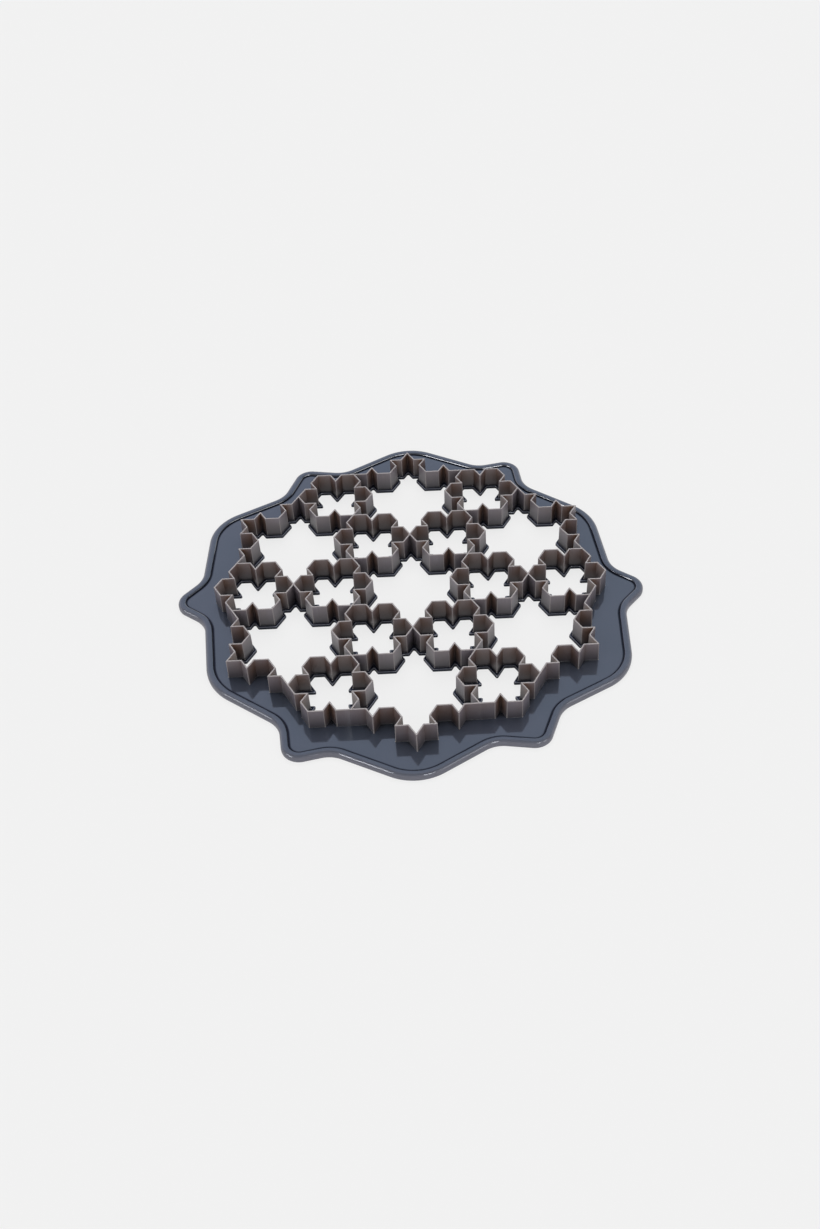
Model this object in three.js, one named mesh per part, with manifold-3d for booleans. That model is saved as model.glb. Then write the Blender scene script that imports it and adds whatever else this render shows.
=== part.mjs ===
// A sheet of snowflake cutters: a flat tray with a wavy raised rim carries upright blades that part a slab
// of dough into seven large and twelve small snowflakes, with no dough left over between them.
// Millimetres, +Z up. The origin is on the surface that the tray stands on, under its middle, with the
// blades pointing up. The blades are one tessellation: every blade is shared by the snowflakes beside it.
import * as THREE from "three";
import { mergeVertices } from "three/addons/utils/BufferGeometryUtils.js";
import Module from "manifold-3d";

const wasm = await Module();
wasm.setup();

// Snowflake pattern
const SMALL_RADIUS = 25; // centre to corner of the hexagon that each small snowflake is drawn on
const NOTCH_WIDTH = 7.5; // of the equal-sided notch in the middle of each hexagon side

// Blades
const BLADE_HEIGHT = 14; // above the tray, the depth of dough that it cuts
const BLADE_FOOT = 1.2; // thickness where it stands on the tray
const BLADE_EDGE = 0.9; // thickness at the cutting edge
const CROSSING_GAP = 0.3; // between the trimmed corners of blades that meet at a crossing

// Tray plate
const PLATE_THICKNESS = 2;
const PLATE_LIFT = 1.2; // height of its underside
const WINDOW_LEDGE = 1.7; // width of plate that shows inside a window, beside the foot of the blades

// Rim bead
const RIM_WIDTH = 5;
const RIM_RISE = 1.3; // above the plate
const RIM_INNER_ROUND = 0.8;
const RIM_OUTER_ROUND = 2.2;
const RIM_FOOT_ROUND = 0.9;

// Tray outline: how far each corner of it, before rounding, lies beyond the reach of the blades.
// Two lobes that face each other are short and the other four are long.
const SHORT_LOBE_MARGIN = 15.3;
const LONG_LOBE_MARGIN = 25;
const SIDE_TIP_MARGIN = 25.7; // the four tips beside a short lobe
const END_TIP_MARGIN = 22.7; // the two tips between long lobes
const SHORT_WAIST_MARGIN = 3; // between a short lobe and a tip
const LONG_WAIST_MARGIN = 8.2; // between a side tip and a long lobe
const END_WAIST_MARGIN = 5.2; // between a long lobe and an end tip
const SHORT_LOBE_ROUND = 36;
const LONG_LOBE_ROUND = 32;
const TIP_ROUND = 11.5;
const WAIST_ROUND = 17.5;

// Angles, in degrees
const SIXTH_TURN = 60; // between neighbours round a large snowflake
const HALF_SIXTH = SIXTH_TURN / 2;
const QUARTER_TURN = 90;
const HALF_TURN = 180;
const SHORT_LOBE_ANGLE = 30; // of the first short lobe
const SHORT_WAIST_TURN = 22.4; // from the short lobe, as are the next two
const LONG_WAIST_TURN = 39;
const END_WAIST_TURN = 79.7;
const OUTLINE_STEP = 10; // most that one facet of a rounded corner of the outline turns
const BEAD_STEP = 30; // most that one facet of the bead's section turns

const CUT_OVERRUN = 1; // how far the cutter of a window runs past each face of the plate

// Worked out from the sizes above
const APOTHEM_SHARE = Math.cos(THREE.MathUtils.degToRad(HALF_SIXTH)); // of a hexagon's radius
const APOTHEM = APOTHEM_SHARE * SMALL_RADIUS;
const NOTCH_DEPTH = APOTHEM_SHARE * NOTCH_WIDTH;
const LARGE_PITCH = 4 * APOTHEM; // between the centres of two large snowflakes
const SMALL_PITCH = 2 * SMALL_RADIUS; // from a large snowflake's centre to the small ones round it
const PATTERN_REACH = 6 * APOTHEM; // from the middle to the outermost blade corner
const PLATE_TOP = PLATE_LIFT + PLATE_THICKNESS;
const RIM_TOP = PLATE_TOP + RIM_RISE;

function polar(radius, degrees) {
  const angle = THREE.MathUtils.degToRad(degrees);
  return new THREE.Vector2(radius * Math.cos(angle), radius * Math.sin(angle));
}

function direction(from, to) {
  return to.clone().sub(from).normalize();
}

// The right-hand side of a direction, which is outside on a loop that runs anticlockwise.
function rightOf(along) {
  return new THREE.Vector2(along.y, -along.x);
}

function moved(points, by) {
  return points.map((point) => point.clone().add(by));
}

// Outlines of the snowflakes, along the middle of the blades

// A small snowflake round the origin: a hexagon whose six sides each have a notch. Its points run
// anticlockwise in fours, a corner and then the notch after it, and the first corner is on +X.
const POINTS_PER_SIDE = 4;
function smallSnowflake() {
  const points = [];
  for (let side = 0; side < 6; side++) {
    const facing = SIXTH_TURN * side + HALF_SIXTH;
    const middle = polar(APOTHEM, facing);
    const along = polar(NOTCH_WIDTH / 2, facing + QUARTER_TURN);
    points.push(polar(SMALL_RADIUS, SIXTH_TURN * side));
    points.push(middle.clone().sub(along));
    points.push(polar(APOTHEM - NOTCH_DEPTH, facing));
    points.push(middle.clone().add(along));
  }
  return points;
}

// The two sides of a small snowflake that face a large one, which lies on the far side of it from
// turn. They run clockwise round the small snowflake, so anticlockwise round the large one.
function sharedSides(turn) {
  const small = smallSnowflake();
  const first = (turn / SIXTH_TURN + 4) * POINTS_PER_SIDE;
  const points = [];
  for (let step = 0; step <= 2 * POINTS_PER_SIDE; step++) {
    points.push(small[(first - step + small.length) % small.length]);
  }
  return moved(points, polar(SMALL_PITCH, turn));
}

// A large snowflake round the origin is what the six small ones round it leave.
function largeSnowflake() {
  const points = [];
  for (let k = 0; k < 6; k++) {
    points.push(...sharedSides(SIXTH_TURN * k).slice(0, -1));
  }
  return points;
}

// The open line that closes an outer large snowflake, round the side of it that no small one borders.
function borderLine() {
  return moved(
    [...sharedSides(SIXTH_TURN).slice(0, -1), ...sharedSides(2 * SIXTH_TURN)],
    polar(LARGE_PITCH, QUARTER_TURN),
  );
}

// Offsets

// The point of a line's corner once both its edges have moved to their right.
function mitre(before, corner, after, distance) {
  const first = rightOf(direction(before, corner));
  const second = rightOf(direction(corner, after));
  const both = first.clone().add(second);
  return corner.clone().addScaledVector(both, distance / (1 + first.dot(second)));
}

function offsetLoop(points, distance) {
  const count = points.length;
  return points.map((corner, i) =>
    mitre(points[(i + count - 1) % count], corner, points[(i + 1) % count], distance),
  );
}

// Where an edge, once moved to its right, meets the flat that trims a blade at a crossing. The flat
// looks along facing, and stands back from the crossing by half the gap.
function trimmed(crossing, along, facing, distance) {
  const start = crossing.clone().addScaledVector(rightOf(along), distance);
  const reach = (-CROSSING_GAP / 2 - start.clone().sub(crossing).dot(facing)) / along.dot(facing);
  return start.addScaledVector(along, reach);
}

// Surfaces, as lists of triangles with their faces outward

// The wall between two loops with matching points, for loops that run anticlockwise round the material.
function addWall(triangles, lower, lowerZ, upper, upperZ) {
  lower.forEach((point, i) => {
    const next = (i + 1) % lower.length;
    const a = [point.x, point.y, lowerZ];
    const b = [lower[next].x, lower[next].y, lowerZ];
    const c = [upper[next].x, upper[next].y, upperZ];
    const d = [upper[i].x, upper[i].y, upperZ];
    triangles.push(a, b, c, a, c, d);
  });
}

// A flat face inside the first loop, with the others as holes in it.
function addFace(triangles, loops, z, up) {
  const points = loops.flat();
  const [contour, ...holes] = loops;
  for (const [i, j, k] of THREE.ShapeUtils.triangulateShape(contour, holes)) {
    const [p, q, r] = [points[i], points[j], points[k]];
    const turnsLeft = q.clone().sub(p).cross(r.clone().sub(p)) > 0;
    const order = turnsLeft === up ? [p, q, r] : [p, r, q];
    triangles.push(...order.map((point) => [point.x, point.y, z]));
  }
}

function geometryOf(triangles) {
  const geometry = new THREE.BufferGeometry();
  geometry.setAttribute("position", new THREE.Float32BufferAttribute(triangles.flat(), 3));
  geometry.computeVertexNormals();
  return geometry;
}

function solidOf(triangles) {
  const geometry = geometryOf(triangles);
  geometry.deleteAttribute("normal");
  const merged = mergeVertices(geometry);
  return new wasm.Manifold(
    new wasm.Mesh({
      numProp: 3,
      vertProperties: merged.attributes.position.array,
      triVerts: new Uint32Array(merged.index.array),
    }),
  );
}

function geometryOfSolid(solid) {
  const mesh = solid.getMesh();
  const geometry = new THREE.BufferGeometry();
  geometry.setAttribute("position", new THREE.BufferAttribute(mesh.vertProperties, 3));
  geometry.setIndex(new THREE.BufferAttribute(mesh.triVerts, 1));
  const faceted = geometry.toNonIndexed();
  faceted.computeVertexNormals();
  return faceted;
}

// Blades

// A blade stands on the tray and tapers evenly from its foot to its cutting edge. sectionLoops gives
// the loops of its section for a thickness.
function bladeGeometry(sectionLoops) {
  const foot = sectionLoops(BLADE_FOOT);
  const edge = sectionLoops(BLADE_EDGE);
  const triangles = [];
  foot.forEach((loop, i) => addWall(triangles, loop, 0, edge[i], BLADE_HEIGHT));
  addFace(triangles, foot, 0, false);
  addFace(triangles, edge, BLADE_HEIGHT, true);
  return geometryOf(triangles);
}

// The blade round a small snowflake. Every second corner of the hexagon meets other blades at a
// crossing, and is trimmed flat there.
function ringSection(thickness) {
  const line = smallSnowflake();
  const count = line.length;
  const outside = [];
  line.forEach((corner, i) => {
    const before = line[(i + count - 1) % count];
    const after = line[(i + 1) % count];
    if (i % (2 * POINTS_PER_SIDE) === 0) {
      const facing = corner.clone().normalize();
      outside.push(trimmed(corner, direction(before, corner), facing, thickness / 2));
      outside.push(trimmed(corner, direction(corner, after), facing, thickness / 2));
    } else {
      outside.push(mitre(before, corner, after, thickness / 2));
    }
  });
  return [outside, offsetLoop(line, -thickness / 2).reverse()];
}

// The blade along a border line. Each end is trimmed flat where it meets an outer ring, and looks
// along the direction in which the missing small snowflake there would have its corner.
function borderSection(thickness) {
  const line = borderLine();
  const last = line.length - 1;
  const side = (distance) =>
    line.map((corner, i) => {
      if (i === 0) {
        return trimmed(corner, direction(corner, line[1]), polar(1, 5 * SIXTH_TURN), distance);
      }
      if (i === last) {
        return trimmed(corner, direction(line[last - 1], corner), polar(1, 4 * SIXTH_TURN), distance);
      }
      return mitre(line[i - 1], corner, line[i + 1], distance);
    });
  return [[...side(thickness / 2), ...side(-thickness / 2).reverse()]];
}

// Tray

// Corners of the tray's outline before rounding, anticlockwise. A quarter of it, from the middle of a
// short lobe to an end tip, is mirrored and then repeated.
function outlineCorners() {
  const quarter = [
    { turn: 0, margin: SHORT_LOBE_MARGIN, round: SHORT_LOBE_ROUND },
    { turn: SHORT_WAIST_TURN, margin: SHORT_WAIST_MARGIN, round: WAIST_ROUND },
    { turn: HALF_SIXTH, margin: SIDE_TIP_MARGIN, round: TIP_ROUND },
    { turn: LONG_WAIST_TURN, margin: LONG_WAIST_MARGIN, round: WAIST_ROUND },
    { turn: SIXTH_TURN, margin: LONG_LOBE_MARGIN, round: LONG_LOBE_ROUND },
    { turn: END_WAIST_TURN, margin: END_WAIST_MARGIN, round: WAIST_ROUND },
    { turn: QUARTER_TURN, margin: END_TIP_MARGIN, round: TIP_ROUND },
  ];
  const mirrored = quarter
    .slice(1, -1)
    .reverse()
    .map((corner) => ({ ...corner, turn: HALF_TURN - corner.turn }));
  const half = [...quarter, ...mirrored];
  const whole = [...half, ...half.map((corner) => ({ ...corner, turn: corner.turn + HALF_TURN }))];
  return whole.map(({ turn, margin, round }) => ({
    place: polar(PATTERN_REACH + margin, SHORT_LOBE_ANGLE + turn),
    round,
  }));
}

// The rounded outline as points with their outward normals. Straight stretches join its arcs, so any
// inset of it is the same points moved along their normals.
function trayOutline() {
  const corners = outlineCorners();
  const count = corners.length;
  return corners.flatMap(({ place, round }, i) => {
    const arriving = direction(corners[(i + count - 1) % count].place, place);
    const leaving = direction(place, corners[(i + 1) % count].place);
    const turn = Math.atan2(arriving.cross(leaving), arriving.dot(leaving));
    const hand = Math.sign(turn); // 1 where the outline is convex, -1 in a waist
    const from = rightOf(arriving);
    const middle = from.clone().add(rightOf(leaving)).normalize();
    const centre = place.clone().addScaledVector(middle, (-hand * round) / Math.cos(turn / 2));
    const steps = Math.ceil(THREE.MathUtils.radToDeg(Math.abs(turn)) / OUTLINE_STEP);
    return Array.from({ length: steps + 1 }, (_, step) => {
      const normal = from.clone().rotateAround(new THREE.Vector2(), (turn * step) / steps);
      return { place: centre.clone().addScaledVector(normal, hand * round), normal };
    });
  });
}

// Points of a rounded corner of the bead's section, as insets and heights.
function beadCorner(inset, z, round, fromDegrees, toDegrees) {
  const steps = Math.ceil(Math.abs(toDegrees - fromDegrees) / BEAD_STEP);
  return Array.from({ length: steps + 1 }, (_, step) => {
    const out = polar(round, fromDegrees + ((toDegrees - fromDegrees) * step) / steps);
    return { inset: inset - out.x, z: z + out.y };
  });
}

// The bead's section, from the underside of the plate out, round and back to the top of the plate.
function beadSection() {
  return [
    { inset: RIM_WIDTH, z: PLATE_LIFT },
    { inset: RIM_WIDTH, z: 0 },
    ...beadCorner(RIM_FOOT_ROUND, RIM_FOOT_ROUND, RIM_FOOT_ROUND, -QUARTER_TURN, 0),
    ...beadCorner(RIM_OUTER_ROUND, RIM_TOP - RIM_OUTER_ROUND, RIM_OUTER_ROUND, 0, QUARTER_TURN),
    ...beadCorner(RIM_WIDTH - RIM_INNER_ROUND, RIM_TOP - RIM_INNER_ROUND, RIM_INNER_ROUND, QUARTER_TURN, HALF_TURN),
    { inset: RIM_WIDTH, z: PLATE_TOP },
  ];
}

// What a window under a snowflake cuts away, round the snowflake's centre.
function windowCutter(outline) {
  const loop = offsetLoop(outline, -(BLADE_FOOT / 2 + WINDOW_LEDGE));
  const low = PLATE_LIFT - CUT_OVERRUN;
  const high = PLATE_TOP + CUT_OVERRUN;
  const triangles = [];
  addWall(triangles, loop, low, loop, high);
  addFace(triangles, [loop], low, false);
  addFace(triangles, [loop], high, true);
  return solidOf(triangles);
}

function trayGeometry(largeCentres, smallCentres) {
  const outline = trayOutline();
  const inset = (distance) =>
    outline.map(({ place, normal }) => place.clone().addScaledVector(normal, -distance));
  const section = beadSection();
  const triangles = [];
  section.slice(1).forEach((point, i) => {
    addWall(triangles, inset(section[i].inset), section[i].z, inset(point.inset), point.z);
  });
  addFace(triangles, [inset(RIM_WIDTH)], PLATE_LIFT, false);
  addFace(triangles, [inset(RIM_WIDTH)], PLATE_TOP, true);

  let tray = solidOf(triangles);
  const cut = (cutter) => (centre) => {
    tray = tray.subtract(cutter.translate([centre.x, centre.y, 0]));
  };
  largeCentres.forEach(cut(windowCutter(largeSnowflake())));
  smallCentres.forEach(cut(windowCutter(smallSnowflake())));
  return geometryOfSolid(tray);
}

// Assembly

const slate = new THREE.MeshStandardMaterial({ color: 0x555d69, roughness: 0.25, metalness: 0 });
const taupe = new THREE.MeshStandardMaterial({ color: 0x6b625c, roughness: 0.45, metalness: 0 });

const sixth = [0, 1, 2, 3, 4, 5];
const largeCentres = [
  new THREE.Vector2(),
  ...sixth.map((k) => polar(LARGE_PITCH, SIXTH_TURN * k + HALF_SIXTH)),
];
const innerCentres = sixth.map((k) => polar(SMALL_PITCH, SIXTH_TURN * k));
const outerCentres = sixth.map((k) => polar(2 * SMALL_PITCH, SIXTH_TURN * k));

const cutter = new THREE.Group();

function add(name, geometry, material, parent) {
  const mesh = new THREE.Mesh(geometry, material);
  mesh.name = name;
  parent.add(mesh);
  return mesh;
}

add("tray", trayGeometry(largeCentres, [...innerCentres, ...outerCentres]), slate, cutter);

const blades = new THREE.Group();
blades.position.z = PLATE_TOP;
cutter.add(blades);

// The crossings of neighbouring rings lie at opposite corners, so every second ring is turned by a sixth.
function addRings(name, centres, firstTurn) {
  const geometry = bladeGeometry(ringSection);
  centres.forEach((centre, k) => {
    const ring = add(`${name}_${k + 1}`, geometry, taupe, blades);
    ring.position.set(centre.x, centre.y, 0);
    ring.rotation.z = THREE.MathUtils.degToRad(firstTurn + SIXTH_TURN * k);
  });
}
addRings("inner_ring", innerCentres, 0);
addRings("outer_ring", outerCentres, SIXTH_TURN);

const borderGeometry = bladeGeometry(borderSection);
sixth.forEach((k) => {
  const border = add(`border_blade_${k + 1}`, borderGeometry, taupe, blades);
  border.rotation.z = THREE.MathUtils.degToRad(SIXTH_TURN * (k - 1));
});

export default cutter;
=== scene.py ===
# A sheet of snowflake cutters: a glossy slate tray with a wavy rim, and taupe blades standing on it.
# Metres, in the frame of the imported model: +Z up, origin under the middle of the tray, blades upwards.
import math

import bpy
import numpy as np
from mathutils import Matrix, Vector
from mathutils.geometry import delaunay_2d_cdt


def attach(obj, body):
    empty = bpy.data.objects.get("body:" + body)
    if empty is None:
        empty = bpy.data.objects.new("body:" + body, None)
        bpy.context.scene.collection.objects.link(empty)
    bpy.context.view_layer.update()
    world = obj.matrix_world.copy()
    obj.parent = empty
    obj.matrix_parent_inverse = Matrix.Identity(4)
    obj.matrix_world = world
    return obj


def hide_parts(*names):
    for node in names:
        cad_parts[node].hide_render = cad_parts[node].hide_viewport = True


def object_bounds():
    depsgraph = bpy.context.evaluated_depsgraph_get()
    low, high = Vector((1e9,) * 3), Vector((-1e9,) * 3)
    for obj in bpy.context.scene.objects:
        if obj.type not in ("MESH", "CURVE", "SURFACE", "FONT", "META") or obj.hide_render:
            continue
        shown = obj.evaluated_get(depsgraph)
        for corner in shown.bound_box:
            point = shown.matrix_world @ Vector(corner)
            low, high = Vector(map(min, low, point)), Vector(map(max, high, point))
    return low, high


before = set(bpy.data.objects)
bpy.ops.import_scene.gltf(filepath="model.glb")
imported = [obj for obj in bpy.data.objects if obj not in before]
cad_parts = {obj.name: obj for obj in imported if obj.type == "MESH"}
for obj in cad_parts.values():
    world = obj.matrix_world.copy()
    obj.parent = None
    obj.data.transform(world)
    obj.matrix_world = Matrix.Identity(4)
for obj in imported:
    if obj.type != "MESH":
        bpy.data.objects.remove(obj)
CAD_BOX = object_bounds()

MM = 0.001

# The photograph's camera, found from the corners of the blades, with its angles in degrees
IMAGE_WIDTH_PX = 820
IMAGE_HEIGHT_PX = 1229
FOCAL_PX = 1335.2
CENTRE_PX = (492.3, 614.5)
CAMERA_PLACE = (11.1 * MM, -623.2 * MM, 603.9 * MM)
CAMERA_AZIMUTH = -3.75
CAMERA_ELEVATION = 44.91
SENSOR = 36.0

# Sizes of the part
SMALL_RADIUS = 25 * MM
NOTCH_WIDTH = 7.5 * MM
BLADE_FOOT = 1.2 * MM
BLADE_EDGE = 0.9 * MM
LEDGE = 1.7 * MM
PLATE_LIFT = 1.2 * MM
PLATE_THICKNESS = 2.0 * MM
RIM_WIDTH = 5.0 * MM
RIM_RISE = 1.3 * MM
RIM_INNER_ROUND = 1.3 * MM
RIM_OUTER_ROUND = 2.2 * MM
RIM_FOOT_ROUND = 0.9 * MM
PLATE_TOP = PLATE_LIFT + PLATE_THICKNESS
RIM_TOP = PLATE_TOP + RIM_RISE
BLADE_TOP = CAD_BOX[1][2]
BLADE_HEIGHT = BLADE_TOP - PLATE_TOP

ROOT3 = math.sqrt(3)
APOTHEM = SMALL_RADIUS * ROOT3 / 2
NOTCH_DEPTH = NOTCH_WIDTH * ROOT3 / 2
LARGE_PITCH = 2 * ROOT3 * SMALL_RADIUS
SMALL_PITCH = 2 * SMALL_RADIUS
REACH = 3 * ROOT3 * SMALL_RADIUS


# Plane geometry


def polar(radius, degrees):
    angle = math.radians(degrees)
    return np.array([radius * math.cos(angle), radius * math.sin(angle)])


def unit(vector):
    return vector / np.linalg.norm(vector)


def right_of(along):
    return np.array([along[1], -along[0]])


def turned(vector, angle):
    c, s = math.cos(angle), math.sin(angle)
    return np.array([c * vector[0] - s * vector[1], s * vector[0] + c * vector[1]])


def turn_between(u, v):
    """The angle in radians from one unit vector to another, positive to the left."""
    return math.atan2(u[0] * v[1] - u[1] * v[0], u @ v)


def corner_arc(before, corner, after, distance, radius, steps):
    """Points and normals round a line's corner once its edges have moved to their right by distance."""
    u, v = unit(corner - before), unit(after - corner)
    ru, rv = right_of(u), right_of(v)
    tip = corner + (ru + rv) * distance / (1 + ru @ rv)
    turn = turn_between(u, v)
    back = radius * abs(math.tan(turn / 2))
    hand = 1 if turn > 0 else -1
    centre = tip - u * back - ru * hand * radius
    normals = [turned(ru, turn * step / steps) for step in range(steps + 1)]
    return [centre + normal * hand * radius for normal in normals], normals


def rounded_loop(line, distance, radius, steps):
    points = []
    for i, corner in enumerate(line):
        after = line[(i + 1) % len(line)]
        points += corner_arc(line[i - 1], corner, after, distance, radius, steps)[0]
    return np.array(points)


# Snowflake lines, along the middle of the blades. Each side of a small snowflake has a notch.

SIDE_POINTS = 4


def small_snowflake():
    points = []
    for side in range(6):
        middle = polar(APOTHEM, 60 * side + 30)
        along = polar(NOTCH_WIDTH / 2, 60 * side + 120)
        points.append(polar(SMALL_RADIUS, 60 * side))
        points.append(middle - along)
        points.append(polar(APOTHEM - NOTCH_DEPTH, 60 * side + 30))
        points.append(middle + along)
    return points


def shared_sides(turn):
    """The two sides that a large snowflake shares with the small one lying in this direction from it."""
    small = small_snowflake()
    first = (turn // 60 + 4) * SIDE_POINTS
    sides = [small[(first - step) % len(small)] for step in range(2 * SIDE_POINTS + 1)]
    return [point + polar(SMALL_PITCH, turn) for point in sides]


def large_snowflake():
    return [point for turn in range(0, 360, 60) for point in shared_sides(turn)[:-1]]


def border_line():
    """The part of an outer large snowflake that no small one closes."""
    line = shared_sides(60)[:-1] + shared_sides(120)
    return [point + polar(LARGE_PITCH, 90) for point in line]


LARGE_CENTRES = [np.zeros(2)] + [polar(LARGE_PITCH, 60 * k + 30) for k in range(6)]
INNER_CENTRES = [polar(SMALL_PITCH, 60 * k) for k in range(6)]
OUTER_CENTRES = [polar(2 * SMALL_PITCH, 60 * k) for k in range(6)]


# Meshes


def mesh_object(name, vertices, faces, smooth, material):
    mesh = bpy.data.meshes.new(name)
    mesh.from_pydata([tuple(v) for v in vertices], [], faces)
    mesh.polygons.foreach_set("use_smooth", smooth)
    mesh.materials.append(material)
    mesh.update()
    obj = bpy.data.objects.new(name, mesh)
    bpy.context.scene.collection.objects.link(obj)
    return obj


def add_mark(obj, name, values):
    """A number at every vertex, which the piece's material reads."""
    attribute = obj.data.attributes.new(name, "FLOAT", "POINT")
    attribute.data.foreach_set("value", values)


# Material nodes


def new_material(name):
    material = bpy.data.materials.new(name)
    material.use_nodes = True
    tree = material.node_tree
    return material, tree, tree.nodes["Principled BSDF"]


def node(tree, kind, **values):
    made = tree.nodes.new(kind)
    for key, value in values.items():
        setattr(made, key, value)
    return made


def noise(tree, coords, scale, detail, roughness=0.5, stretch=None):
    """A noise over the object's own coordinates, in cycles per metre."""
    source = coords.outputs["Object"]
    if stretch is not None:
        mapping = node(tree, "ShaderNodeMapping")
        mapping.inputs["Scale"].default_value = stretch
        tree.links.new(source, mapping.inputs["Vector"])
        source = mapping.outputs["Vector"]
    made = node(tree, "ShaderNodeTexNoise")
    made.inputs["Scale"].default_value = scale
    made.inputs["Detail"].default_value = detail
    made.inputs["Roughness"].default_value = roughness
    tree.links.new(source, made.inputs["Vector"])
    return made.outputs["Fac"]


def remap(tree, value, low, high, to_low=0, to_high=1):
    made = node(tree, "ShaderNodeMapRange")
    made.inputs["From Min"].default_value = low
    made.inputs["From Max"].default_value = high
    made.inputs["To Min"].default_value = to_low
    made.inputs["To Max"].default_value = to_high
    tree.links.new(value, made.inputs["Value"])
    return made.outputs["Result"]


def larger(tree, first, second):
    made = node(tree, "ShaderNodeMath", operation="MAXIMUM")
    tree.links.new(first, made.inputs[0])
    tree.links.new(second, made.inputs[1])
    return made.outputs[0]


def mix_colour(tree, factor, first, second):
    made = node(tree, "ShaderNodeMix", data_type="RGBA")
    tree.links.new(factor, made.inputs["Factor"])
    for socket, colour in ((made.inputs[6], first), (made.inputs[7], second)):
        if isinstance(colour, tuple):
            socket.default_value = (*colour, 1)
        else:
            tree.links.new(colour, socket)
    return made.outputs[2]


def bump(tree, height, strength, distance, shader):
    made = node(tree, "ShaderNodeBump")
    made.inputs["Strength"].default_value = strength
    made.inputs["Distance"].default_value = distance
    tree.links.new(height, made.inputs["Height"])
    tree.links.new(made.outputs["Normal"], shader.inputs["Normal"])


def openness(tree, distance, own_walls=False):
    """How open the surface is, 0 in deep corners and 1 where nothing, or no wall of its own, is near."""
    made = node(tree, "ShaderNodeAmbientOcclusion", samples=8, only_local=own_walls)
    made.inputs["Distance"].default_value = distance
    return made.outputs["AO"]


def mark(tree, name):
    return node(tree, "ShaderNodeAttribute", attribute_name=name).outputs["Fac"]


# Materials

# Where a noise is turned into a share from 0 to 1
NOISE_SPAN = (0.3, 0.7)

SLATE_DARK = (0.031, 0.039, 0.056)
SLATE_PALE = (0.039, 0.044, 0.063)
# Painted shade: the plate's colour deep in corners and beside the blades
SLATE_CORNER_SHADE = (0.008, 0.009, 0.012)
# Painted light: the colour of upright sides and window edges, as if lit from the front
SLATE_SIDE_LIGHT = (0.130, 0.132, 0.160)
# Painted shade and painted dark reflection: the colour of the dark lines at the bead's foot, on the ledges
# and window walls
SLATE_PAINTED_SHADE = (0.009, 0.011, 0.020)
SLATE_GLOSS = (0.055, 0.10)
SLATE_SHADE_LINE_ROUGHNESS = 0.22
SLATE_IOR = 1.6
SLATE_CORNER_REACH = 8 * MM
SLATE_CORNER_SPAN = (0.36, 0.56)

TAUPE_DARK = (0.152, 0.133, 0.154)
TAUPE_PALE = (0.188, 0.164, 0.188)
TAUPE_CLOUD = (0.164, 0.138, 0.144)
# Painted shade: deep and warm colours for the blades' enclosed nooks
TAUPE_NOOK_DEEP_SHADE = (0.040, 0.020, 0.014)
TAUPE_NOOK_WARM_SHADE = (0.145, 0.080, 0.052)
# Painted shade: the blades' colour at their foot
TAUPE_FOOT_SHADE = (0.020, 0.021, 0.027)
TAUPE_EDGE = (0.30, 0.272, 0.265)
TAUPE_GLOSS = (0.30, 0.40)
TAUPE_IOR = 1.5
TAUPE_NOOK_REACH = 16 * MM
TAUPE_DEEP_SPAN = (0.2, 0.5)
TAUPE_WARM_SPAN = (0.5, 0.95)
TAUPE_FOOT_SHARE = 0.1
STREAK_STRETCH = (1600, 1600, 25)


def slate_material():
    """Polished slate-blue moulded plastic with a faint cloudy tone and slightly uneven gloss, painted
    shade in corners and along dark lines, and painted light on upright sides and window edges.
    """
    material, tree, shader = new_material("slate_plastic")
    coords = node(tree, "ShaderNodeTexCoord")
    cloud = remap(tree, noise(tree, coords, scale=22, detail=3), *NOISE_SPAN)
    tone = mix_colour(tree, cloud, SLATE_DARK, SLATE_PALE)
    # Painted shade: darker where other surfaces are near
    corner = remap(tree, openness(tree, SLATE_CORNER_REACH), *SLATE_CORNER_SPAN)
    shaded = mix_colour(tree, corner, SLATE_CORNER_SHADE, tone)
    # Painted light: lighter on upright sides and on the window edges' rounds
    sides = mix_colour(tree, mark(tree, "upright"), shaded, SLATE_SIDE_LIGHT)
    # Painted shade: dark lines at the bead's foot, on the ledges and on the window walls
    painted_shade = mark(tree, "painted_shade")
    base = mix_colour(tree, painted_shade, sides, SLATE_PAINTED_SHADE)
    tree.links.new(base, shader.inputs["Base Color"])
    tree.links.new(mark(tree, "shine"), shader.inputs["Specular IOR Level"])
    gloss = remap(tree, noise(tree, coords, scale=60, detail=4), *NOISE_SPAN, *SLATE_GLOSS)
    matt = remap(tree, painted_shade, 0, 1, 0, SLATE_SHADE_LINE_ROUGHNESS)
    tree.links.new(larger(tree, gloss, matt), shader.inputs["Roughness"])
    shader.inputs["IOR"].default_value = SLATE_IOR
    waves = noise(tree, coords, scale=35, detail=1)
    bump(tree, waves, strength=0.12, distance=0.6 * MM, shader=shader)
    return material


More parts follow.
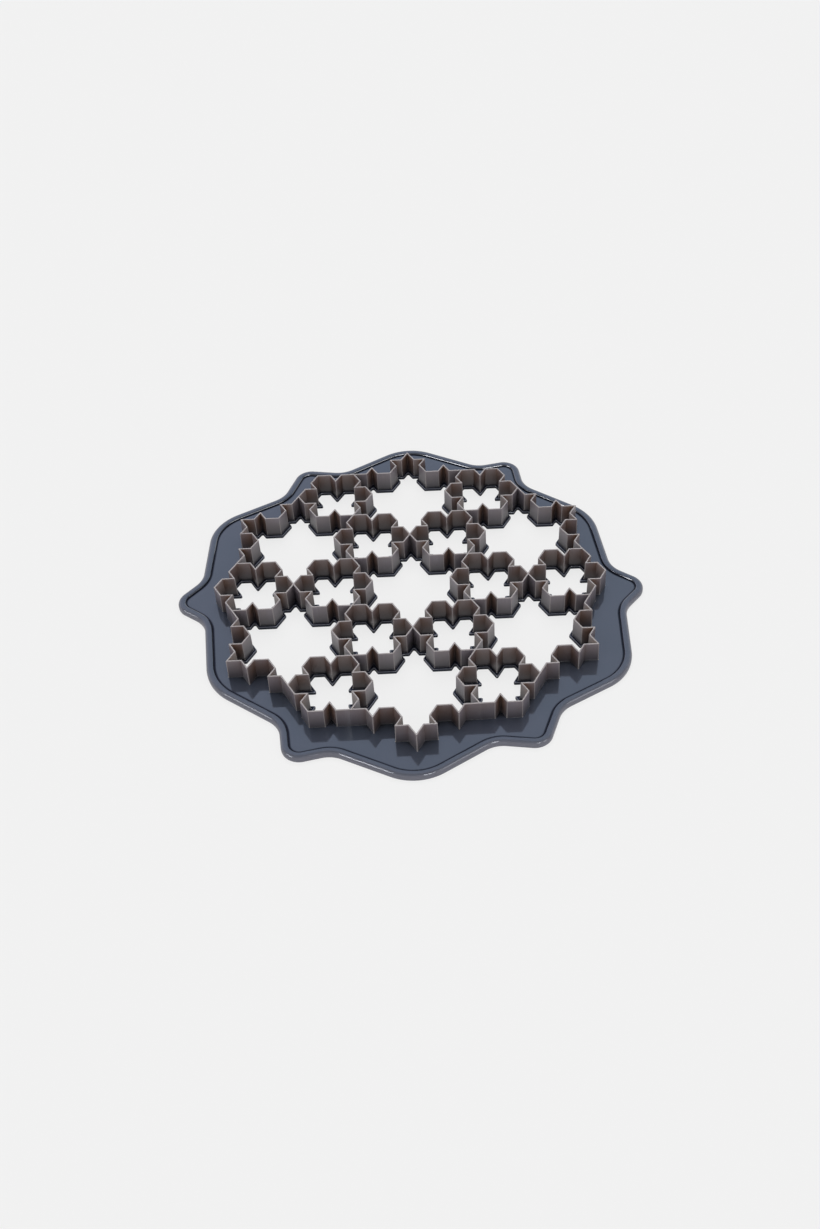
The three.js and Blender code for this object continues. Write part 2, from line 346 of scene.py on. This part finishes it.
def taupe_material():
    """Satin smoky-brown plastic with fine upright streaks, painted warm shade in its nooks, painted shade
    towards its foot, and paler on its edges.
    """
    material, tree, shader = new_material("taupe_plastic")
    coords = node(tree, "ShaderNodeTexCoord")
    lines = noise(tree, coords, scale=1, detail=3, roughness=0.6, stretch=STREAK_STRETCH)
    streak = remap(tree, lines, *NOISE_SPAN)
    cloud = remap(tree, noise(tree, coords, scale=90, detail=2), *NOISE_SPAN)
    body = mix_colour(tree, streak, TAUPE_DARK, TAUPE_PALE)
    tone = mix_colour(tree, cloud, body, TAUPE_CLOUD)
    # Painted shade: darker and warmer where the blades' own walls close round, standing in for shade and
    # bounced light
    around = openness(tree, TAUPE_NOOK_REACH, own_walls=True)
    nook_shade_colour = mix_colour(tree, remap(tree, around, *TAUPE_DEEP_SPAN), TAUPE_NOOK_DEEP_SHADE, TAUPE_NOOK_WARM_SHADE)
    nook_shaded_tone = mix_colour(tree, remap(tree, around, *TAUPE_WARM_SPAN), nook_shade_colour, tone)
    # Painted shade: darker towards the blades' foot
    place = node(tree, "ShaderNodeSeparateXYZ")
    tree.links.new(coords.outputs["Object"], place.inputs[0])
    height = remap(tree, place.outputs["Z"], PLATE_TOP, BLADE_TOP, TAUPE_FOOT_SHARE, 1)
    foot_shaded_tone = mix_colour(tree, height, TAUPE_FOOT_SHADE, nook_shaded_tone)
    base = mix_colour(tree, mark(tree, "edge"), foot_shaded_tone, TAUPE_EDGE)
    tree.links.new(base, shader.inputs["Base Color"])
    gloss = remap(tree, streak, 0, 1, *TAUPE_GLOSS)
    tree.links.new(gloss, shader.inputs["Roughness"])
    shader.inputs["IOR"].default_value = TAUPE_IOR
    bump(tree, streak, strength=0.15, distance=0.1 * MM, shader=shader)
    return material


SLATE = slate_material()
TAUPE = taupe_material()


# Blades

OUTER_ROUND = 0.4 * MM
INNER_ROUND = 0.15 * MM
CORNER_STEPS = 4
EDGE_ROUND = 0.2 * MM
EDGE_STEPS = 3
FOOT_FILLET = 0.2 * MM
FILLET_STEPS = 3
BLADE_SHARP_ANGLE = 50
BORDER_END_FACINGS = (300, 240)

# The edge mark: how pale outward corners and the top's round are, and where beside them it has faded out
CORNER_SHARE = 0.5
CORNER_BAND = 0.2 * MM
EDGE_START_SHARE = 0.4
EDGE_BAND = 0.1 * MM

# As many points on a trimmed corner as on a rounded one with its bands
CORNER_POINTS = CORNER_STEPS + 3


def half_thickness(z):
    return (BLADE_FOOT + (BLADE_EDGE - BLADE_FOOT) * z / BLADE_HEIGHT) / 2


def blade_levels():
    """Heights above the plate, half thicknesses there, and edge marks."""
    levels = []
    for step in range(FILLET_STEPS + 1):
        angle = math.radians(90 * step / FILLET_STEPS)
        z = FOOT_FILLET * (1 - math.cos(angle))
        levels.append((z, half_thickness(z) + FOOT_FILLET * (1 - math.sin(angle)), 0.0))
    band = BLADE_HEIGHT - EDGE_ROUND - EDGE_BAND
    levels.append((band, half_thickness(band), 0.0))
    for step in range(EDGE_STEPS + 1):
        angle = math.radians(90 * step / EDGE_STEPS)
        z = BLADE_HEIGHT - EDGE_ROUND * (1 - math.sin(angle))
        pale = EDGE_START_SHARE + (1 - EDGE_START_SHARE) * step / EDGE_STEPS
        levels.append((z, half_thickness(z) - EDGE_ROUND * (1 - math.cos(angle)), pale))
    return levels


def cut_end(corner, along, facing, distance):
    """Where an edge, moved to its right by distance, meets a cut through its corner."""
    start = corner + right_of(along) * distance
    return start - along * ((start - corner) @ facing) / (along @ facing)


def trimmed_corner(before, corner, after, distance):
    """Points along the flat where a ring meets other blades."""
    facing = unit(corner)
    ends = [cut_end(corner, unit(edge), facing, distance) for edge in (corner - before, after - corner)]
    shares = np.linspace(0, 1, CORNER_POINTS)[:, None]
    return list(ends[0] * (1 - shares) + ends[1] * shares)


def blade_corner(before, corner, after, distance):
    """Points round a corner of one face of a blade, with a band on each side, and which stand out."""
    u, v = unit(corner - before), unit(after - corner)
    outward = turn_between(u, v) * distance > 0
    radius = OUTER_ROUND if outward else INNER_ROUND
    arc = corner_arc(before, corner, after, distance, radius, CORNER_STEPS)[0]
    points = [arc[0] - u * CORNER_BAND] + arc + [arc[-1] + v * CORNER_BAND]
    return points, [0.0] + [float(outward)] * len(arc) + [0.0]


def ring_side(distance):
    """One face of a ring at one level. Every second tip is trimmed on the outer face."""
    line = small_snowflake()
    points = []
    exposed = []
    for i, corner in enumerate(line):
        before, after = line[i - 1], line[(i + 1) % len(line)]
        if i % (2 * SIDE_POINTS) == 0 and distance > 0:
            points += trimmed_corner(before, corner, after, distance)
            exposed += [0.0] * CORNER_POINTS
        else:
            more, out = blade_corner(before, corner, after, distance)
            points += more
            exposed += out
    return np.array(points), np.array(exposed)


def border_side(distance):
    """One face of a border blade at one level, with both ends cut flat."""
    line = border_line()
    first, last = (polar(1, degrees) for degrees in BORDER_END_FACINGS)
    points = [cut_end(line[0], unit(line[1] - line[0]), first, distance)]
    exposed = [0.0]
    for i in range(1, len(line) - 1):
        more, out = blade_corner(line[i - 1], line[i], line[i + 1], distance)
        points += more
        exposed += out
    points.append(cut_end(line[-1], unit(line[-1] - line[-2]), last, distance))
    exposed.append(0.0)
    return np.array(points), np.array(exposed)


def blade_object(name, side, closed, turn, centre, replaced):
    """A blade as the walls between its levels, up one side, over the edge and down the other."""
    levels = blade_levels()
    c, s = math.cos(math.radians(turn)), math.sin(math.radians(turn))
    rotation = np.array([[c, -s], [s, c]])
    rings = []
    edges = []
    for sign, order in ((1, levels), (-1, levels[::-1])):
        for z, half, pale in order:
            points, exposed = side(sign * half)
            places = points @ rotation.T + centre
            rings.append(np.column_stack([places, np.full(len(places), PLATE_TOP + z)]))
            edges.append(np.maximum(exposed * CORNER_SHARE, pale))
    count, rows = len(rings[0]), len(rings)
    faces = []
    for row in range(rows):
        upper = (row + 1) % rows
        for i in range(count if closed else count - 1):
            j = (i + 1) % count
            faces.append((row * count + i, row * count + j, upper * count + j, upper * count + i))
    if not closed:
        faces.append(tuple(row * count for row in range(rows)))
        faces.append(tuple(row * count + count - 1 for row in reversed(range(rows))))
    obj = mesh_object(name, np.concatenate(rings), faces, [True] * len(faces), TAUPE)
    add_mark(obj, "edge", np.concatenate(edges))
    obj.data.set_sharp_from_angle(angle=math.radians(BLADE_SHARP_ANGLE))
    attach(obj, "root")
    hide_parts(replaced)


def make_blades():
    middle = np.zeros(2)
    for k in range(6):
        n = k + 1
        turn = 60 * k
        blade_object(f"inner_blade_{n}", ring_side, True, turn, INNER_CENTRES[k], f"inner_ring_{n}")
        blade_object(f"outer_blade_{n}", ring_side, True, turn + 60, OUTER_CENTRES[k], f"outer_ring_{n}")
        blade_object(f"edge_blade_{n}", border_side, False, turn - 60, middle, f"border_blade_{n}")


# Tray

# The outline's corners: turn from the short lobe in degrees, distance past the blades' reach, rounding
SHORT_LOBE_ANGLE = 30
OUTLINE_QUARTER = [
    (0, 15.3 * MM, 36 * MM),
    (22.4, 3.0 * MM, 17.5 * MM),
    (30, 25.7 * MM, 11.5 * MM),
    (39, 8.2 * MM, 17.5 * MM),
    (60, 25.0 * MM, 32 * MM),
    (79.7, 5.2 * MM, 17.5 * MM),
    (90, 22.7 * MM, 11.5 * MM),
]
# The most degrees that an arc of the outline turns from one point to the next
OUTLINE_STEP = 2.5
# Keeps the tray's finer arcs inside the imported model's box
OUTLINE_INSET = 0.03 * MM

RIM_STEPS = 6
SHADE_LINE_WIDTH = 1.2 * MM
SHADE_LINE_CORE = 0.5 * MM
WINDOW_CORNER_ROUND = 0.8 * MM
WINDOW_CORNER_STEPS = 3
WINDOW_EDGE_ROUND = 0.4 * MM
WINDOW_FOOT_ROUND = 0.1 * MM
WINDOW_STEPS = 3
LEDGE_SHADE_START = 0.7 * MM
HIDDEN_INSETS = (0.35 * MM, 0.15 * MM)
HIDDEN_CORNER_ROUND = 0.05 * MM
TRAY_SHARP_ANGLE = 40

# How the plate's faces are cut into triangles: over the whole hull, with points nearer than this as one
WHOLE_HULL = 0
MERGE_DISTANCE = 1e-9

# Marks on the tray, each an upright value for painted light, a value for painted shade along dark lines,
# and a shine value
SHINE = 0.5
RIM_SHINE = 0.15
SHADE_LINE_SHINE = 0.05
PLAIN_MARK = (0.0, 0.0, SHINE)
PAINTED_SHADE_MARK = (0.0, 1.0, SHADE_LINE_SHINE)
# The window walls carry some painted shade, and the round at their top edge painted light
WALL_MARK = (0.0, 0.3, 0.05)
WINDOW_EDGE_MARKS = ((0.8, 0.2, 0.4), (1.0, 0.0, 0.5), (0.8, 0.0, 0.3), WALL_MARK)

# Values point by point round the rim: up from its foot, over its outer round, then down its inner round.
# The upright values paint light on the outer round, the sinking ones paint shade on the inner round.
RISING_UPRIGHT = (0.0, 0.0, 0.3, 0.7, 1.0, 1.0, 1.0)
FALLING_UPRIGHT = (1.0, 1.0, 1.0, 0.8, 0.5, 0.3, 0.15)
SINKING_SHADE = (0.0, 0.1, 0.6, 1.0, 1.0, 1.0, 1.0)
SINKING_SHINE = (0.5, 0.5, 0.8, 1.0, 0.8, 0.3, 0.05)


def outline_corners():
    mirrored = [(180 - turn, past, radius) for turn, past, radius in OUTLINE_QUARTER[1:-1]]
    half = OUTLINE_QUARTER + mirrored[::-1]
    whole = half + [(turn + 180, past, radius) for turn, past, radius in half]
    return [(polar(REACH + past, SHORT_LOBE_ANGLE + turn), radius) for turn, past, radius in whole]


def tray_outline():
    """Points of the rounded outline and their outward normals."""
    corners = outline_corners()
    places = []
    normals = []
    for i, (corner, radius) in enumerate(corners):
        before, after = corners[i - 1][0], corners[(i + 1) % len(corners)][0]
        turn = turn_between(unit(corner - before), unit(after - corner))
        steps = math.ceil(abs(math.degrees(turn)) / OUTLINE_STEP)
        more, out = corner_arc(before, corner, after, 0, radius, steps)
        places += more
        normals += out
    normals = np.array(normals)
    return np.array(places) - normals * OUTLINE_INSET, normals


def bead_section():
    """Insets, heights and marks round the rim, from below the plate over the bead to the plate's top."""
    points = [
        (RIM_WIDTH + SHADE_LINE_WIDTH, PLATE_LIFT, PLAIN_MARK),
        (RIM_WIDTH, PLATE_LIFT, PLAIN_MARK),
        (RIM_WIDTH, 0.0, PLAIN_MARK),
    ]
    rising = [(upright, 0.0, SHINE + (RIM_SHINE - SHINE) * upright) for upright in RISING_UPRIGHT]
    falling = [(upright, 0.0, SHINE + (RIM_SHINE - SHINE) * upright) for upright in FALLING_UPRIGHT]
    sinking = [(0.0, painted_shade, shine) for painted_shade, shine in zip(SINKING_SHADE, SINKING_SHINE)]
    for inset, z, radius, start, marks in (
        (RIM_FOOT_ROUND, RIM_FOOT_ROUND, RIM_FOOT_ROUND, -90, rising),
        (RIM_OUTER_ROUND, RIM_TOP - RIM_OUTER_ROUND, RIM_OUTER_ROUND, 0, falling),
        (RIM_WIDTH - RIM_INNER_ROUND, RIM_TOP - RIM_INNER_ROUND, RIM_INNER_ROUND, 90, sinking),
    ):
        for step in range(RIM_STEPS + 1):
            out = polar(radius, start + 90 * step / RIM_STEPS)
            points.append((inset - out[0], z + out[1], marks[step]))
    points.append((RIM_WIDTH + SHADE_LINE_CORE, PLATE_TOP, PAINTED_SHADE_MARK))
    points.append((RIM_WIDTH + SHADE_LINE_WIDTH, PLATE_TOP, PLAIN_MARK))
    return points


def window_section():
    """Insets from the blades' line, heights, corner roundings and marks, from below the plate to its top.

    The last loops lie under the blades, so that the ledge's painted shade line ends there unseen.
    """
    wall = BLADE_FOOT / 2 + LEDGE
    section = []
    for step in range(WINDOW_STEPS + 1):
        angle = math.radians(90 * step / WINDOW_STEPS)
        inset = wall - WINDOW_FOOT_ROUND * (1 - math.sin(angle))
        z = PLATE_LIFT + WINDOW_FOOT_ROUND * (1 - math.cos(angle))
        section.append((inset, z, WINDOW_CORNER_ROUND, WALL_MARK))
    for step in reversed(range(WINDOW_STEPS + 1)):
        angle = math.radians(90 * step / WINDOW_STEPS)
        inset = wall - WINDOW_EDGE_ROUND * (1 - math.sin(angle))
        z = PLATE_TOP - WINDOW_EDGE_ROUND * (1 - math.cos(angle))
        section.append((inset, z, WINDOW_CORNER_ROUND, WINDOW_EDGE_MARKS[step]))
    section.append((wall - LEDGE_SHADE_START, PLATE_TOP, WINDOW_CORNER_ROUND, PAINTED_SHADE_MARK))
    section.append((HIDDEN_INSETS[0], PLATE_TOP, HIDDEN_CORNER_ROUND, PAINTED_SHADE_MARK))
    section.append((HIDDEN_INSETS[1], PLATE_TOP, HIDDEN_CORNER_ROUND, PLAIN_MARK))
    return section


def inside(points, loop):
    """Which of the points lie inside the loop."""
    x, y = points[:, 0:1], points[:, 1:2]
    x0, y0 = loop[:, 0], loop[:, 1]
    x1, y1 = np.roll(x0, -1), np.roll(y0, -1)
    spans = (y0 > y) != (y1 > y)
    with np.errstate(divide="ignore", invalid="ignore"):
        cross = x0 + (y - y0) * (x1 - x0) / (y1 - y0)
    return (np.sum(spans & (x < cross), axis=1) % 2) == 1


def face_between(outer, holes):
    """Triangles, as indices into all the loops' points, that fill the outer loop round the holes."""
    loops = [outer] + holes
    points = np.concatenate(loops)
    edges = []
    start = 0
    for loop in loops:
        edges += [(start + i, start + (i + 1) % len(loop)) for i in range(len(loop))]
        start += len(loop)
    made = delaunay_2d_cdt([Vector(p) for p in points], edges, [], WHOLE_HULL, MERGE_DISTANCE)
    if len(made[0]) != len(points):
        raise RuntimeError("the plate's face has gained points")
    triangles = np.array(made[2])
    middles = points[triangles].mean(axis=1)
    keep = inside(middles, outer)
    for hole in holes:
        keep &= ~inside(middles, hole)
    triangles = triangles[keep]
    a, b, c = (points[triangles[:, k]] for k in range(3))
    area = (b - a)[:, 0] * (c - a)[:, 1] - (b - a)[:, 1] * (c - a)[:, 0]
    triangles[area < 0] = triangles[area < 0][:, ::-1]
    return triangles


def make_tray():
    vertices = []
    marks = []
    faces = []
    smooth = []

    def add_loop(points, z, values):
        start = len(vertices)
        vertices.extend((p[0], p[1], z) for p in points)
        marks.extend([values] * len(points))
        return start

    def join(first, second, count):
        for i in range(count):
            j = (i + 1) % count
            faces.append((first + i, first + j, second + j, second + i))
            smooth.append(True)

    places, normals = tray_outline()
    starts = [add_loop(places - normals * inset, z, values) for inset, z, values in bead_section()]
    for first, second in zip(starts, starts[1:]):
        join(first, second, len(places))
    rim_loop = places - normals * (RIM_WIDTH + SHADE_LINE_WIDTH)

    cells = [(large_snowflake(), centre) for centre in LARGE_CENTRES]
    cells += [(small_snowflake(), centre) for centre in INNER_CENTRES + OUTER_CENTRES]
    section = window_section()
    lower = []
    upper = []
    for line, centre in cells:
        loops = []
        for inset, z, corner_round, values in section:
            loop = rounded_loop(line, -inset, corner_round, WINDOW_CORNER_STEPS)[::-1] + centre
            loops.append((loop, add_loop(loop, z, values)))
        for (loop, first), (_, second) in zip(loops, loops[1:]):
            join(first, second, len(loop))
        lower.append(loops[0])
        upper.append(loops[-1])

    for windows, rim_start, up in ((lower, starts[0], False), (upper, starts[-1], True)):
        index = list(range(rim_start, rim_start + len(rim_loop)))
        for loop, start in windows:
            index += range(start, start + len(loop))
        for triangle in face_between(rim_loop, [loop for loop, _ in windows]):
            order = triangle if up else triangle[::-1]
            faces.append(tuple(index[i] for i in order))
            smooth.append(False)

    tray = mesh_object("tray_body", vertices, faces, smooth, SLATE)
    for name, values in zip(("upright", "painted_shade", "shine"), zip(*marks)):
        add_mark(tray, name, values)
    tray.data.set_sharp_from_angle(angle=math.radians(TRAY_SHARP_ANGLE))
    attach(tray, "root")
    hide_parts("tray")


# Floor, light and camera

FLOOR_SIZE = 12.0
FLOOR_TONE = 0.82
FLOOR_ROUGHNESS = 0.9
FLOOR_SHADOW_SHARE = 0.12
BACKGROUND = (0.879, 0.879, 0.879)

# The world's colour for scattered light, and by direction for mirrored light
WORLD_DIFFUSE = (0.3, 0.3, 0.3)
WORLD_BEHIND = (0.94, 1.13, 1.46)
WORLD_LEFT = (1.10, 1.22, 1.64)
WORLD_FRONT = (0.4, 0.42, 0.46)
WORLD_LOW = (1.4, 1.38, 1.42)
BEHIND_SPAN = (0.1, 0.5)
LEFT_TO_RIGHT_SPAN = (-0.5, 0.2)
LOW_SPAN = (0.5, 0.1)

# Name, azimuth from the front, elevation, strength, angular width, and if it shows in mirrored light alone
LAMPS = (
    ("key", 180, 64, 1.7, 45, False),
    ("fill_left", -60, 25, 0.9, 60, False),
    ("fill_front", 0, 30, 0.5, 60, False),
    ("fill_right", 60, 20, 1.0, 60, False),
    ("sparkle_far_left", -74, 36, 0.9, 20, True),
    ("sparkle_left", -56, 36, 1.8, 17, True),
    ("sparkle_right", 28, 48, 1.4, 18, True),
    ("sparkle_far_right", 63, 40, 0.8, 24, True),
)
SPARKLE_TINT = (0.9, 0.93, 1.0)


def back_from(azimuth, elevation):
    """The direction from the object to a lamp or camera, azimuth 0 being in front of it."""
    a, e = math.radians(azimuth), math.radians(elevation)
    return Vector((math.sin(a) * math.cos(e), -math.cos(a) * math.cos(e), math.sin(e)))


def is_ray(tree, *kinds):
    """1 for rays of any of the kinds, else 0."""
    path = node(tree, "ShaderNodeLightPath")
    found = path.outputs[kinds[0]]
    for kind in kinds[1:]:
        found = larger(tree, found, path.outputs[kind])
    return found


def make_floor():
    """A pale floor that looks evenly bright, with the object's shadow as a faint tint on it."""
    material, tree, shader = new_material("pale_floor")
    shader.inputs["Base Color"].default_value = (FLOOR_TONE, FLOOR_TONE, FLOOR_TONE, 1)
    shader.inputs["Roughness"].default_value = FLOOR_ROUGHNESS
    shader.inputs["Specular IOR Level"].default_value = 0.0
    glow = node(tree, "ShaderNodeEmission")
    glow.inputs["Color"].default_value = (*BACKGROUND, 1)
    mix = node(tree, "ShaderNodeMixShader")
    seen = is_ray(tree, "Is Camera Ray", "Is Glossy Ray", "Is Transmission Ray")
    share = remap(tree, seen, 0, 1, 0, 1 - FLOOR_SHADOW_SHARE)
    tree.links.new(share, mix.inputs[0])
    tree.links.new(shader.outputs[0], mix.inputs[1])
    tree.links.new(glow.outputs[0], mix.inputs[2])
    tree.links.new(mix.outputs[0], tree.nodes["Material Output"].inputs["Surface"])
    half = FLOOR_SIZE / 2
    corners = [(-half, -half, 0), (half, -half, 0), (half, half, 0), (-half, half, 0)]
    floor = mesh_object("floor", corners, [(0, 1, 2, 3)], [False], material)


def make_world():
    """A plain pale studio. The camera sees the background, and each kind of light its own brightness."""
    world = bpy.data.worlds.new("studio")
    bpy.context.scene.world = world
    world.use_nodes = True
    tree = world.node_tree
    coords = node(tree, "ShaderNodeTexCoord")
    place = node(tree, "ShaderNodeSeparateXYZ")
    tree.links.new(coords.outputs["Generated"], place.inputs[0])
    behind = remap(tree, place.outputs["Y"], *BEHIND_SPAN)
    to_right = remap(tree, place.outputs["X"], *LEFT_TO_RIGHT_SPAN)
    back = mix_colour(tree, to_right, WORLD_LEFT, WORLD_BEHIND)
    above = mix_colour(tree, behind, WORLD_FRONT, back)
    low = remap(tree, place.outputs["Z"], *LOW_SPAN)
    mirrored = mix_colour(tree, low, above, WORLD_LOW)
    light = mix_colour(tree, is_ray(tree, "Is Glossy Ray", "Is Transmission Ray"), WORLD_DIFFUSE, mirrored)
    colour = mix_colour(tree, is_ray(tree, "Is Camera Ray"), light, BACKGROUND)
    tree.links.new(colour, tree.nodes["Background"].inputs["Color"])


def add_sun(name, azimuth, elevation, strength, width, mirrored):
    """A soft lamp, seen only in mirrored light or only in scattered light."""
    data = bpy.data.lights.new(name, "SUN")
    data.energy = strength
    data.angle = math.radians(width)
    if mirrored:
        data.color = SPARKLE_TINT
    lamp = bpy.data.objects.new(name, data)
    lamp.visible_glossy = mirrored
    lamp.visible_diffuse = not mirrored
    bpy.context.scene.collection.objects.link(lamp)
    lamp.rotation_euler = back_from(azimuth, elevation).to_track_quat("Z", "Y").to_euler()


def make_camera():
    data = bpy.data.cameras.new("camera")
    data.sensor_fit = "VERTICAL"
    data.sensor_height = SENSOR
    data.sensor_width = SENSOR
    data.lens = SENSOR * FOCAL_PX / IMAGE_HEIGHT_PX
    data.shift_x = (IMAGE_WIDTH_PX / 2 - CENTRE_PX[0]) / IMAGE_HEIGHT_PX
    data.shift_y = (CENTRE_PX[1] - IMAGE_HEIGHT_PX / 2) / IMAGE_HEIGHT_PX
    camera = bpy.data.objects.new("camera", data)
    bpy.context.scene.collection.objects.link(camera)
    back = back_from(CAMERA_AZIMUTH, CAMERA_ELEVATION)
    azimuth = math.radians(CAMERA_AZIMUTH)
    right = Vector((math.cos(azimuth), math.sin(azimuth), 0))
    up = back.cross(right)
    rotation = Matrix((right, up, back)).transposed().to_4x4()
    camera.matrix_world = Matrix.Translation(CAMERA_PLACE) @ rotation
    bpy.context.scene.camera = camera


make_blades()
make_tray()
make_floor()
make_world()
for lamp in LAMPS:
    add_sun(*lamp)
make_camera()
bpy.context.scene.view_settings.view_transform = "Standard"
